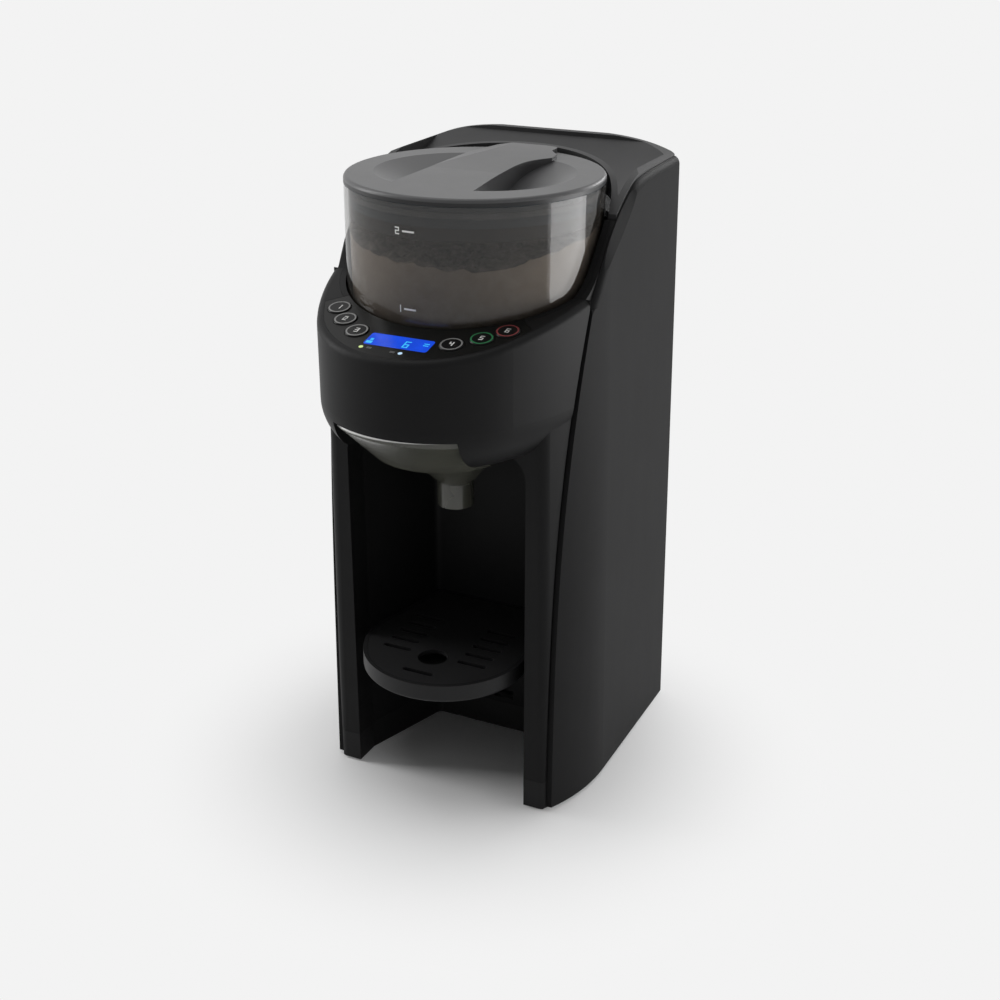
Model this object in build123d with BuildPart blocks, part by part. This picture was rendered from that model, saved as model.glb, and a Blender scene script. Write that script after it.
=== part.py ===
from build123d import *

"""Baby formula maker: a bottle bay between two legs, a dosing head with a round powder
container on top, a water tank at the back and a pull-out bottle tray.

Millimetres. +Z is up, the front faces -Y, and +X is the user's right.
The origin is on the floor, on the powder container's axis.
"""
from math import atan, cos, degrees, pi, radians, sin, sqrt, tan
import os

os.makedirs("parts", exist_ok=True)

# ---------------------------------------------------------------- driving dimensions
# Body skin
half_width = 78.4          # half the width at the floor
side_lean = 0.0118         # how far each side leans in, per mm of height
back_y = 100.0             # flat back
flank_radius = 102.0       # plan radius of the side covers' front flank
leg_front_y = -49.2        # front of the two legs
rear_corner = 4.0          # vertical radius at the rear corners
skin_top = 345.0           # working height of the untrimmed skin
cover_wall = 2.6           # side cover wall
cover_bottom = 2.2         # side covers stop this far above the floor
cover_proud = 1.6          # side covers stand this far outside the front housing
seam_gap = 0.9             # half the dark seam between front housing and side cover
back_slot_half = half_width - 12.4   # half the opening between the side covers at the back
fit_gap = 0.3              # running clearance between separate bodies
part_gap = 0.1             # assembly clearance between fixed pieces

# Seam between front housing and side covers, in the side view (y, z)
seam_line = [(-47.6, -1.0), (-45.2, 90.0), (-32.2, 224.0), (-20.0, 277.0)]
# Top edge of the side covers in the side view (y, z), and the lower edge of the bevel on it
shoulder_front = [(-20.0, 277.0), (-9.6, 292.8), (-1.1, 304.4), (5.6, 310.9), (12.4, 316.4),
                  (24.0, 324.0), (32.1, 328.2)]
shoulder_rear = [(45.0, 331.0), (62.0, 331.9), (80.0, 332.2), (101.0, 332.3)]
bevel_front = [(-21.0, 267.0), (-12.6, 283.3), (-5.0, 292.8), (1.9, 298.3), (11.0, 304.0),
               (22.5, 312.4), (29.6, 318.6), (35.0, 325.6)]
bevel_rear = [(41.0, 331.6), (60.0, 334.0), (101.0, 335.0)]
bevel_deep = 2.5           # the bevel takes this much off the cover's thickness at the top
shoulder_round = 5.0

# Head
nose_radius = 62.0
nose_y = -100.0
nose_angle = 60.0          # degrees of nose arc each side of the centre line
head_bottom = 204.0
head_roll = 26.0           # radius where the head turns under
head_wall = 2.8
head_floor = 232.0         # top of the floor inside the head
ring_height = 287.0        # height of the sloping ring plane on the container axis
ring_slope = 0.2217        # rise of the ring plane per mm of y
ring_plate = 5.2
lip = 3.6                  # rim left outside the control panel

# Bottle bay
bay_back_y = 18.0
bay_front_half = half_width - 24.6
bay_back_half = bay_front_half - 18.8
bay_front_y = -41.0
bay_wall = 2.8
bay_arch_z = 207.0
bay_arch_half = bay_front_half - 2.3
bay_arch_radius = 14.0
leg_round = 6.0
base_height = 18.0         # height of the base frame's seam above the floor
foot_lift = 1.2            # rubber feet below the base frame
foot_radius = 4.5

crest_y = -21.0            # the shoulders beside the container start here
crest_rise = [(-9.6, 292.8), (-1.1, 303.6), (5.6, 310.0), (11.2, 314.6)]   # and rise so (y, z)
crest_seat = 311.0         # flat behind them that the tank lid's tips reach over
pocket_rib_y = -30.0
cavity_half = half_width - 9.8       # half width of the space inside the head
leg_hollow_x = half_width - 16.4     # plan corner of the hollow inside each leg
leg_hollow_y = -43.0
rim_round = 3.4            # radius on the head's top edge

# Powder container and its cradle
container_radius = half_width - 12.4     # leaves room for the cradle and the side covers
container_wall = 2.2
container_floor_z = 249.3
container_floor = 2.4
container_top = 331.0
cradle_gap = 0.8
cradle_wall = 3.0
cradle_floor_z = 246.0
cradle_floor = 3.0
outlet_y = -46.0
outlet_radius = 9.0

# Container lid
lid_top = container_top + 4.0
lid_plate = 2.8
lid_edge = 2.0             # radius on the lid's edge
plug_depth = 18.0
plug_gap = 0.5
grip_line = [(20.5, -50.0), (20.0, -42.0), (17.9, -26.4), (15.5, -8.8), (14.2, 12.0), (17.0, 29.0),
             (22.0, 36.0), (34.0, 46.0)]   # right edge of the grip bar in plan (x, y)
grip_left = -25.2          # straight left edge of the grip bar
grip_rise = [(-20.0, lid_top), (4.0, lid_top + 0.1), (30.0, lid_top + 1.2), (50.0, lid_top + 2.2),
             (64.6, lid_top + 2.6)]      # the bar's top line (y, z)
grip_tab = (-16.0, 18.5)   # the bar's tab at the back spans these x
recess_x = 8.1             # the finger recesses are cones about an axis this far off centre
recess_radius = 44.0
recess_slope = 0.33
recess_depth = 12.5
lid_skin = 2.4

# Control panel
panel_thick = 2.0
panel_angle = 46.0
button_radius = 6.0
button_travel = 0.8
button_proud = 0.6
stem_radius = 1.8
button_places = [(25.6, -77.6), (37.2, -68.8), (46.2, -59.2)]
window_width = 34.0
window_depth = 10.8
window_y = -82.0
led_places = [(-16.2, -90.2), (5.4, -91.0)]
led_radius = 1.1

# Funnel
funnel_half = bay_back_half - 1.1
funnel_wall_top = 213.3
funnel_front_y = -97.0
funnel_front_radius = 58.0
funnel_rim_z = 203.0
funnel_floor = 2.4
funnel_top_z = 225.2
funnel_lip_z = 222.0       # lower edge of the upright lip; the underside runs in from it
funnel_back_y = -6.0
funnel_wall = 2.0
funnel_groove = 3.8        # depth of the grooves for the rails
spout_y = -25.2
spout_radius = 9.8
spout_bottom = 163.5
spout_top = 177.0
bowl_knee = (192.0, 22.0, -29.0)     # height, radius and y of the bowl where its taper changes
bowl_rim = (24.6, -31.0)             # radius and y of the bowl under the funnel's floor

# Bottle tray
tray_y = -38.6
tray_radius = bay_front_half - 8.2
tray_top = 84.3
tray_depth = 10.0
tray_wall = 2.4
grille_thick = 2.2
hook_width = 12.0
hook_x = 7.6
hook_height = 5.0
hook_z = 78.6
low_hook_z = 24.0

# Water tank
tank_half = half_width - 13.2
tank_front_radius = container_radius + 5.2
tank_floor_z = 111.3
tank_top = 319.7
tank_rear_top = 318.0
tank_wall = 2.2
valve_y = 85.4
hinge_y = 96.6
hinge_z = 325.0
pin_radius = 1.5
tank_lid_under = 320.0
tank_lid_front_y = 12.6
tank_lid_half = half_width - 6.8
tank_lid_inner = container_radius + 2.5
tank_lid_back = 99.8
tip_under = 311.4          # underside of the lid's two front tips
tip_back_y = 27.0
rim_width = 3.4

# Water path
nozzle_radius = 3.0
nozzle_x = 20.0
nozzle_z = 219.5
nozzle_end = (4.0, -14.0, 213.6)
hose_radius = 3.5

# Drive
gear_module = 1.5
gear_teeth = 40
pinion_teeth = 12
gear_thick = 6.0
shaft_radius = 4.0
motor_radius = 15.0
gear_play = 0.4
hub_radius = 8.0
motor_height = 44.0


def ring_z(y):
    """Height of the sloping ring plane at y."""
    return ring_height + ring_slope * y


ring_tilt = degrees(atan(ring_slope))
ring_plane = Plane(origin=(0, 0, ring_height), x_dir=(1, 0, 0), z_dir=(0, -ring_slope, 1))


def on_ring(x, y):
    """A point of the ring plane, given in plan, in the plane's own coordinates."""
    return (x, y / cos(radians(ring_tilt)))


def slab(x0, x1, y0, y1, z0, z1, mode=Mode.ADD):
    """Box between two corners."""
    with Locations(((x0 + x1) / 2, (y0 + y1) / 2, (z0 + z1) / 2)):
        Box(x1 - x0, y1 - y0, z1 - z0, mode=mode)


def post(x, y, z0, z1, radius, mode=Mode.ADD):
    """Upright cylinder between two heights."""
    with Locations((x, y, (z0 + z1) / 2)):
        Cylinder(radius, z1 - z0, mode=mode)


def save(solid, name):
    solid.label = name
    export_step(solid, "parts/" + name + ".step")


def side_x(z, inset=0.0):
    """Half width of the skin at height z."""
    return half_width - side_lean * z - inset


def skin_outline(z, inset, front_y, rear_y):
    """Closed plan outline of the body skin at height z, moved in by inset."""
    side = side_x(z)
    radius = flank_radius - inset
    centre_x = side - flank_radius
    corner_x = centre_x + sqrt(radius ** 2 - front_y ** 2)
    mid_x = centre_x + sqrt(radius ** 2 - (front_y / 2) ** 2)
    with BuildLine() as outline:
        Line((-corner_x, front_y), (corner_x, front_y))
        ThreePointArc((corner_x, front_y), (mid_x, front_y / 2), (side - inset, 0))
        Line((side - inset, 0), (side - inset, rear_y))
        Line((side - inset, rear_y), (inset - side, rear_y))
        Line((inset - side, rear_y), (inset - side, 0))
        ThreePointArc((inset - side, 0), (-mid_x, front_y / 2), (-corner_x, front_y))
    return outline.line


def skin_block(inset, low, high, front_y, rear_y):
    """Solid between two heights whose sides follow the leaning skin."""
    with BuildPart() as block:
        for level in (low, high):
            with BuildSketch(Plane.XY.offset(level)):
                with BuildLine():
                    add(skin_outline(level, inset, front_y, rear_y))
                make_face()
        loft(ruled=True)
    return block.part


def head_outline(inset=0.0, rear_y=21.0):
    """Plan outline of the head: a round nose that runs out into flatter flanks."""
    centre_y = nose_y + nose_radius
    radius = nose_radius - inset
    angle = radians(nose_angle)
    start = (radius * sin(angle), centre_y - radius * cos(angle))
    end = (side_x(250) - inset, 0)
    with BuildLine() as outline:
        ThreePointArc((-start[0], start[1]), (0, centre_y - radius), start)
        TangentArc(start, end, tangent=(cos(angle), sin(angle)))
        Line(end, (end[0], rear_y))
        Line((end[0], rear_y), (-end[0], rear_y))
        Line((-end[0], rear_y), (-end[0], 0))
        TangentArc((-start[0], start[1]), (-end[0], 0), tangent=(-cos(angle), sin(angle)))
    return outline.line


def side_view_block(points_or_edges, half=120.0):
    """Prism across the body from a closed line in the side view (y, z)."""
    with BuildPart() as block:
        with BuildSketch(Plane.YZ):
            with BuildLine():
                add(points_or_edges)
            make_face()
        extrude(amount=half, both=True)
    return block.part


def seam_cutter(shift, front):
    """Everything in front of the seam line (front=True) or behind it."""
    points = [(y + shift, z) for y, z in seam_line]
    far_y = -140.0 if front else 140.0
    with BuildLine() as line:
        seam = Spline(*points)
        Polyline(seam @ 1, (points[-1][0], 400), (far_y, 400), (far_y, -1), seam @ 0)
    return side_view_block(line.line)


def above_line(front, rear):
    """Wire around everything above a line made of two joined curves in the side view."""
    with BuildLine() as line:
        rise = Spline(*front)
        run = Spline(front[-1], *rear, tangents=[rise % 1, (1, 0)])
        Polyline(run @ 1, (rear[-1][0], 400), (front[0][0] - 40, 400),
                 (front[0][0] - 40, front[0][1]), rise @ 0)
    return line.line


def bevel_cutter():
    """Everything above the bevel, which leans out from the shoulder line to a lower one."""
    with BuildPart() as block:
        for x, front, rear in ((side_x(310) - bevel_deep, shoulder_front, shoulder_rear),
                               (side_x(310) + 0.3, bevel_front, bevel_rear)):
            with BuildSketch(Plane.YZ.offset(x)):
                with BuildLine():
                    add(above_line(front, rear))
                make_face()
        loft(ruled=True)
    return block.part


# ---------------------------------------------------------------- body skin
with BuildPart() as right_skin:
    add(skin_block(0.0, cover_bottom, skin_top, leg_front_y + 1.2, back_y))
    add(side_view_block(above_line(shoulder_front, shoulder_rear)), mode=Mode.SUBTRACT)
    top_edges = edges().filter_by(
        lambda e: e.center().X > 60 and e.center().Z > shoulder_front[-1][1] - 1
        and e.bounding_box().size.Z < 70 and e.bounding_box().size.Y > 3)
    fillet(top_edges, radius=shoulder_round)
    add(bevel_cutter(), mode=Mode.SUBTRACT)
    rear_edge = edges().filter_by(
        lambda e: e.length > 300 and e.center().Y > back_y - 1 and e.center().X > 60)
    fillet(rear_edge, radius=rear_corner)
    split(bisect_by=Plane.YZ, keep=Keep.TOP)

# ---------------------------------------------------------------- side covers
with BuildPart() as side_cover_right:
    add(right_skin.part)
    add(skin_block(cover_wall, -1.0, skin_top + 5, leg_front_y - 10, back_y - cover_wall),
        mode=Mode.SUBTRACT)
    add(seam_cutter(seam_gap, True), mode=Mode.SUBTRACT)
    with Locations((0, back_y, skin_top / 2)):
        Box(2 * back_slot_half, 20, skin_top + 20, mode=Mode.SUBTRACT)
    with Locations((0, back_y, tank_lid_under - 1.6 + 50)):   # room for the tank lid
        Box(2 * (tank_lid_half + fit_gap), 20, 100, mode=Mode.SUBTRACT)
side_cover_right.part.label = "side_cover_right"
export_step(side_cover_right.part, "parts/side_cover_right.step")

with BuildPart() as side_cover_left:
    add(mirror(side_cover_right.part, about=Plane.YZ, mode=Mode.PRIVATE))
side_cover_left.part.label = "side_cover_left"
export_step(side_cover_left.part, "parts/side_cover_left.step")

# ---------------------------------------------------------------- front housing
def bay_outline(grow=0.0, mouth_y=-130.0):
    """Plan outline of the bottle bay: side walls that close in towards the back."""
    back = (bay_back_half + grow, bay_back_y + grow)
    mouth = (bay_front_half + grow, bay_front_y)
    with BuildLine() as outline:
        Polyline((-mouth[0], mouth_y), (-mouth[0], mouth[1]), (-back[0], back[1]),
                 back, mouth, (mouth[0], mouth_y), close=True)
    return outline.line


with BuildPart() as bay_space:
    with BuildSketch(Plane.XY.offset(-5)):
        with BuildLine():
            add(bay_outline())
        make_face()
        fillet(vertices().group_by(Axis.Y)[-1], radius=4)
    extrude(amount=funnel_top_z + 5.3)
    with BuildSketch(Plane.XZ):
        with Locations((0, (bay_arch_z - 5) / 2)):
            Rectangle(2 * bay_arch_half, bay_arch_z + 5)
        fillet(vertices().group_by(Axis.Y)[-1], radius=bay_arch_radius)
        with Locations((0, funnel_top_z / 2)):
            Rectangle(2 * (funnel_half + fit_gap), funnel_top_z + 0.6)
    extrude(amount=140, both=True, mode=Mode.INTERSECT)

with BuildPart() as legs_block:
    add(skin_block(cover_proud, base_height + part_gap, head_floor + 20, leg_front_y,
                   bay_back_y + bay_wall))
    corners = edges().filter_by(
        lambda e: e.length > 150 and e.center().Y < leg_front_y + 4 and abs(e.center().X) > 50)
    fillet(corners, radius=leg_round)

with BuildPart() as cover_room:     # where the side covers go, behind the seam
    with Locations((0, 0, 175)):
        Box(400, 400, 360)
    add(skin_block(cover_wall + fit_gap, -10, skin_top + 20, leg_front_y - 30, 250),
        mode=Mode.SUBTRACT)
    add(seam_cutter(-seam_gap, True), mode=Mode.SUBTRACT)

with BuildPart() as head_cavity:
    with BuildSketch(Plane.XY.offset(head_floor)):
        with BuildLine():
            add(head_outline(inset=head_wall, rear_y=60))
        make_face()
        Rectangle(2 * cavity_half, 400, mode=Mode.INTERSECT)
    extrude(amount=100)
    with BuildSketch(Plane.YZ):
        with BuildLine():
            Polyline((-140, ring_z(-140) - ring_plate), (140, ring_z(140) - ring_plate),
                     (140, 420), (-140, 420), close=True)
        make_face()
    extrude(amount=120, both=True, mode=Mode.SUBTRACT)

with BuildPart() as leg_hollows:
    with BuildSketch(Plane.XY.offset(base_height - 1)):
        with BuildLine():
            Polyline((bay_front_half + bay_wall, leg_hollow_y), (leg_hollow_x, leg_hollow_y),
                     (leg_hollow_x + 6, leg_hollow_y + 14), (90, leg_hollow_y + 14),
                     (90, bay_back_y), (bay_back_half + bay_wall, bay_back_y), close=True)
        make_face()
        mirror(about=Plane.YZ)
    extrude(amount=bay_arch_z - base_height - 8)


with BuildPart() as head_pockets:      # the head is hollow beside the funnel's slot
    with BuildSketch(Plane.XY.offset(head_bottom + 8)):
        with BuildLine():
            add(head_outline(inset=head_wall + 10, rear_y=bay_back_y - 1))
        make_face()
        Rectangle(2 * (funnel_half + fit_gap + head_wall), 400, mode=Mode.SUBTRACT)
        Rectangle(2 * cavity_half, 400, mode=Mode.INTERSECT)
        with Locations((0, pocket_rib_y)):
            Rectangle(400, head_wall, mode=Mode.SUBTRACT)
    extrude(amount=head_floor - head_bottom - 7)


def crest_cutter():
    """Everything above the sloping ring and the shoulders that rise behind it."""
    with BuildLine() as line:
        rise = Spline((crest_y, ring_z(crest_y)), *crest_rise)
        Polyline(rise @ 1, (crest_rise[-1][0], crest_seat), (60, crest_seat), (60, 420),
                 (-140, 420), (-140, ring_z(-140)), rise @ 0)
    return side_view_block(line.line)


def panel_blank(low, high, edge, inner, angle):
    """Crescent plate on the sloping ring: from low to high above the ring plane."""
    reach = 200
    with BuildPart() as plate:
        with BuildSketch():
            with BuildLine():
                add(head_outline(inset=edge))
            make_face()
            Circle(inner, mode=Mode.SUBTRACT)
            with BuildLine():
                Polyline((0, 0), (-reach * tan(radians(angle)), -reach),
                         (reach * tan(radians(angle)), -reach), close=True)
            make_face(mode=Mode.INTERSECT)
        extrude(amount=400)
        with BuildSketch(ring_plane.offset(low)):
            Rectangle(2 * reach, 2 * reach)
        extrude(amount=high - low, mode=Mode.INTERSECT)
    return plate.part


with BuildPart() as front_housing:
    with BuildSketch(Plane.XY.offset(head_bottom)):
        with BuildLine():
            add(head_outline(rear_y=bay_back_y + bay_wall))
        make_face()
    extrude(amount=skin_top - head_bottom)
    under = edges().filter_by(
        lambda e: abs(e.center().Z - head_bottom) < 0.1 and e.center().Y < bay_back_y)
    fillet(under, radius=head_roll)
    # the sloping ring with its rounded edge, then the rising shoulders beside the container
    with BuildSketch(Plane.YZ):
        with BuildLine():
            Polyline((-140, ring_z(-140)), (60, ring_z(60)), (60, 420), (-140, 420), close=True)
        make_face()
    extrude(amount=120, both=True, mode=Mode.SUBTRACT)
    rim = edges().filter_by(
        lambda e: e.center().Z > 255 and abs(e.center().Z - ring_z(e.center().Y)) < 2
        and e.center().Y < bay_back_y)
    fillet(rim, radius=rim_round)
    with BuildSketch(Plane.XY.offset(head_floor)):
        with BuildLine():
            add(head_outline(rear_y=bay_back_y + bay_wall))
        make_face()
        with Locations((0, crest_y - 100)):
            Rectangle(400, 200, mode=Mode.SUBTRACT)
    extrude(amount=100)
    add(crest_cutter(), mode=Mode.SUBTRACT)
    add(legs_block.part)
    add(bay_space.part, mode=Mode.SUBTRACT)
    add(cover_room.part, mode=Mode.SUBTRACT)
    add(head_cavity.part, mode=Mode.SUBTRACT)
    add(leg_hollows.part, mode=Mode.SUBTRACT)
    add(head_pockets.part, mode=Mode.SUBTRACT)
    post(0, 0, head_floor - 4, head_floor + 1, hub_radius + 0.2, Mode.SUBTRACT)
    with Locations((0, 0, cradle_floor_z - part_gap)):   # the cradle's well
        Cylinder(container_radius + cradle_gap + cradle_wall + part_gap, 200,
                 align=(Align.CENTER, Align.CENTER, Align.MIN), mode=Mode.SUBTRACT)
    # seat for the control panel, with openings for the keys, display and lamps
    add(panel_blank(-panel_thick - part_gap, 20, lip - part_gap, container_radius - 6,
                    panel_angle + 0.2),
        mode=Mode.SUBTRACT)
    with BuildSketch(ring_plane):
        with Locations(*[on_ring(s * x, y) for x, y in button_places for s in (1, -1)]):
            Circle(stem_radius + fit_gap)
        with Locations(on_ring(0, window_y)):
            Rectangle(window_width + 0.6, window_depth + 0.6)
        with Locations(*[on_ring(x, y) for x, y in led_places]):
            Circle(led_radius + part_gap)
    extrude(amount=-ring_plate - 3, mode=Mode.SUBTRACT)
    # powder outlet, water pipe and tray hook slots
    with Locations((0, outlet_y, head_floor)):
        Cylinder(outlet_radius + 2.0, 40, mode=Mode.SUBTRACT)
    with BuildSketch(Plane.XZ.offset(-bay_back_y - 10)):
        with Locations((nozzle_x, nozzle_z)):
            Circle(nozzle_radius + fit_gap)
        with Locations(*[(s * hook_x, z) for s in (1, -1) for z in (hook_z, low_hook_z)]):
            Rectangle(hook_width + 2 * fit_gap, hook_height + 2 * fit_gap)
    extrude(amount=20, mode=Mode.SUBTRACT)
front_housing.part.label = "front_housing"
export_step(front_housing.part, "parts/front_housing.step")

# ---------------------------------------------------------------- base frame and feet
foot_places = [(s * (half_width - inset), y) for inset, y in ((16.4, -37.0), (20.4, 86.0))
               for s in (1, -1)]
base_floor = foot_lift + 2.4
inner_back_y = back_y - cover_wall - part_gap
with BuildPart() as base_frame:
    add(skin_block(cover_proud, foot_lift, base_height, leg_front_y, inner_back_y))
    base_corners = edges().filter_by(
        lambda e: e.bounding_box().size.Z > 10 and e.center().Y < leg_front_y + 4)
    fillet(base_corners, radius=leg_round)
    add(bay_space.part, mode=Mode.SUBTRACT)
    add(cover_room.part, mode=Mode.SUBTRACT)
    slab(-back_slot_half + fit_gap, back_slot_half - fit_gap, inner_back_y - 1, back_y - 0.2,
         foot_lift, base_height)
    with BuildSketch(Plane.XY.offset(base_floor)):
        with BuildLine():
            Polyline((bay_front_half + bay_wall, leg_hollow_y), (leg_hollow_x, leg_hollow_y),
                     (leg_hollow_x + 6.5, leg_hollow_y + 14), (leg_hollow_x + 6.5, bay_back_y),
                     (bay_back_half + bay_wall, bay_back_y), close=True)
        make_face()
        mirror(about=Plane.YZ)
        with Locations(*[(x, 59) for x in (-52.5, 0, 52.5)]):
            Rectangle(33, 70)
    extrude(amount=30, mode=Mode.SUBTRACT)
    for x, y in foot_places:
        post(x, y, 0, foot_lift + 1.5, foot_radius + part_gap, Mode.SUBTRACT)
save(base_frame.part, "base_frame")

with BuildPart() as rubber_feet:
    for x, y in foot_places:
        post(x, y, 0, foot_lift + 1.4, foot_radius)
    chamfer(faces().sort_by(Axis.Z)[:4].edges(), length=0.4)
save(rubber_feet.part, "rubber_feet")

# ---------------------------------------------------------------- rear frame
shelf_under = tank_floor_z - fit_gap - 3.0
partition_y = bay_back_y + bay_wall + part_gap
partition_back = partition_y + 2.4
frame_bottom = base_height + part_gap
inlet_x, inlet_z = 40.0, 32.0
shelf_half = half_width - 10.4
partition_half = half_width - 18.4
with BuildPart() as rear_frame:
    slab(-back_slot_half + fit_gap, back_slot_half - fit_gap, back_y - 3.0, back_y - 0.2,
         frame_bottom, shelf_under + 1)
    slab(-shelf_half, shelf_half, partition_y, back_y - 3.0, shelf_under, tank_floor_z - fit_gap)
    slab(-partition_half, partition_half, partition_y, partition_back, frame_bottom, head_floor)
    for x in (-back_slot_half, back_slot_half):
        slab(x - 1.2, x + 1.2, partition_y, inner_back_y - 0.1, frame_bottom, shelf_under + 1)
    # gussets that carry the deck above the partition
    for x in (-46, 46):
        with BuildSketch(Plane.YZ.offset(x - 1)):
            with BuildLine():
                Polyline((partition_back - 1, head_floor), (partition_back + 20, head_floor),
                         (partition_back - 1, head_floor - 34), close=True)
            make_face()
        extrude(amount=2)
    post(0, valve_y, shelf_under - 1, tank_floor_z, 8.6, Mode.SUBTRACT)
    post(34, 33, shelf_under - 1, tank_floor_z, hose_radius + 1, Mode.SUBTRACT)
    with BuildSketch(Plane.XZ.offset(-bay_back_y - 10)):
        with Locations((nozzle_x, nozzle_z)):
            Circle(nozzle_radius + fit_gap)
        with Locations(*[(s * hook_x, z) for s in (1, -1) for z in (hook_z, low_hook_z)]):
            Rectangle(hook_width + 2 * fit_gap, hook_height + 2 * fit_gap)
    extrude(amount=20, both=True, mode=Mode.SUBTRACT)
    with BuildSketch(Plane.XZ.offset(-back_y - 5)):      # vents and the mains inlet
        with GridLocations(8, 1, 7, 1):
            with Locations((-28, 66)):
                SlotOverall(46, 3, rotation=90)
        with Locations((inlet_x, inlet_z)):
            RectangleRounded(24.2, 16.2, 3)
    extrude(amount=20, mode=Mode.SUBTRACT)
save(rear_frame.part, "rear_frame")

# ---------------------------------------------------------------- hopper cradle
cradle_outer = container_radius + cradle_gap + cradle_wall
with BuildPart() as hopper_cradle:
    post(0, 0, cradle_floor_z, crest_rise[-1][1] + 1, cradle_outer)
    post(0, 0, cradle_floor_z + cradle_floor, 400, container_radius + cradle_gap, Mode.SUBTRACT)
    add(crest_cutter(), mode=Mode.SUBTRACT)
    slab(-100, 100, 55, 100, crest_seat, 420, Mode.SUBTRACT)
    add(panel_blank(-panel_thick - part_gap, 20, lip - part_gap, container_radius - 6,
                    panel_angle + 0.2),
        mode=Mode.SUBTRACT)
    post(0, 0, 230, 260, 12, Mode.SUBTRACT)
    post(0, outlet_y, head_floor - 5, cradle_floor_z + 1, outlet_radius + 1.8)
    post(0, outlet_y, head_floor - 6, 260, outlet_radius, Mode.SUBTRACT)
save(hopper_cradle.part, "hopper_cradle")

# ---------------------------------------------------------------- drive
def gear_points(teeth, turn):
    """Outline of an involute spur gear about its own centre."""
    pitch = gear_module * teeth / 2
    base = pitch * cos(radians(20))
    root = pitch - 1.25 * gear_module
    tip = pitch + 0.95 * gear_module

    def roll(radius):
        t = sqrt(max((radius / base) ** 2 - 1, 0))
        return t - atan(t)

    start = max(base, root)
    radii = [start + (tip - start) * k / 3 for k in range(4)]
    half = pi / (2 * teeth) - gear_play / (2 * pitch) + roll(pitch)
    flank = [(r, half - roll(r)) for r in radii]
    if root < base - 0.05:
        flank = [(root, flank[0][1])] + flank
    points = []
    for i in range(teeth):
        centre = radians(turn) + 2 * pi * i / teeth
        for sign, side in ((-1, flank), (1, flank[::-1])):
            points += [(r * cos(centre + sign * a), r * sin(centre + sign * a)) for r, a in side]
    return points


pinion_y = gear_module * (gear_teeth + pinion_teeth) / 2
deck_low = head_floor + part_gap
deck_top = head_floor + 2.5
gear_low = deck_top + 2.0
with BuildPart() as drive_deck:
    post(0, 0, deck_low, cradle_floor_z - part_gap, container_radius)
    post(0, 0, deck_top, 300, container_radius - 2.6, Mode.SUBTRACT)
    post(0, 0, head_floor - 3.9, gear_low - 0.5, hub_radius)
    post(0, 0, 200, 300, 6.1, Mode.SUBTRACT)
    post(0, outlet_y, 200, 300, outlet_radius + 2, Mode.SUBTRACT)
    post(0, pinion_y, 200, 300, 6.3, Mode.SUBTRACT)
save(drive_deck.part, "drive_deck")

with BuildPart() as drive_bush:
    post(0, 0, head_floor - 3.9, gear_low - 0.5, 6.0)
    post(0, 0, 200, 300, shaft_radius + 0.05, Mode.SUBTRACT)
save(drive_bush.part, "drive_bush")

with BuildPart() as gear_motor:
    post(0, pinion_y, head_floor - motor_height, head_floor - 14, motor_radius - 1.5)
    post(0, pinion_y, head_floor - 14, head_floor, motor_radius)
    post(0, pinion_y, head_floor, deck_top, 6.1)
    post(0, pinion_y, head_floor - 10, 300, 3.05, Mode.SUBTRACT)
    chamfer(faces().sort_by(Axis.Z)[0].edges(), length=1.5)
save(gear_motor.part, "gear_motor")

with BuildPart() as drive_gear:
    with BuildSketch(Plane.XY.offset(gear_low)):
        Polygon(*gear_points(gear_teeth, 0), align=None)
    extrude(amount=gear_thick)
    with PolarLocations(19, 6):
        Cylinder(6, 600, mode=Mode.SUBTRACT)
    post(0, 0, gear_low - 0.2, gear_low, 7)
    post(0, 0, head_floor - 3.6, gear_low + 1, shaft_radius)
    with BuildSketch(Plane.XY.offset(gear_low + gear_thick)):
        RegularPolygon(8, 6)
    extrude(amount=15)
save(drive_gear.part, "drive_gear")

with BuildPart() as motor_pinion:
    with BuildSketch(Plane.XY.offset(gear_low)):
        with Locations((0, pinion_y)):
            Polygon(*gear_points(pinion_teeth, 15), align=None)
    extrude(amount=gear_thick)
    post(0, pinion_y, head_floor - 9.7, gear_low + 1, 3.0)
save(motor_pinion.part, "motor_pinion")

# ---------------------------------------------------------------- control panel
with BuildPart() as control_panel:
    add(panel_blank(-panel_thick, 0, lip, container_radius + cradle_gap, panel_angle))
    with BuildSketch(ring_plane.offset(1)):
        with Locations(*[on_ring(s * x, y) for x, y in button_places for s in (1, -1)]):
            Circle(button_radius + fit_gap)
        with Locations(on_ring(0, window_y)):
            RectangleRounded(window_width + 0.2, window_depth + 0.2, 1.5)
        with Locations(*[on_ring(x, y) for x, y in led_places]):
            Circle(led_radius + part_gap)
    extrude(amount=-10, mode=Mode.SUBTRACT)
save(control_panel.part, "control_panel")

with BuildPart() as display_window:
    with BuildSketch(ring_plane):
        with Locations(on_ring(0, window_y)):
            RectangleRounded(window_width, window_depth, 1.4)
    extrude(amount=-panel_thick)
save(display_window.part, "display_window")

with BuildPart() as lcd_module:
    with BuildSketch(ring_plane.offset(-panel_thick - part_gap)):
        with Locations(on_ring(0, window_y)):
            Rectangle(window_width - 1, window_depth - 1)
    extrude(amount=-(ring_plate - panel_thick - part_gap))
save(lcd_module.part, "lcd_module")

with BuildPart() as panel_board:
    add(panel_blank(-ring_plate - part_gap - 1.6, -ring_plate - part_gap, lip + 3,
                    cradle_outer + 1.0, 42))
save(panel_board.part, "panel_board")

with BuildPart() as indicator_leds:
    with BuildSketch(ring_plane):
        with Locations(*[on_ring(x, y) for x, y in led_places]):
            Circle(led_radius)
    extrude(amount=-ring_plate)
save(indicator_leds.part, "indicator_leds")

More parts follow.
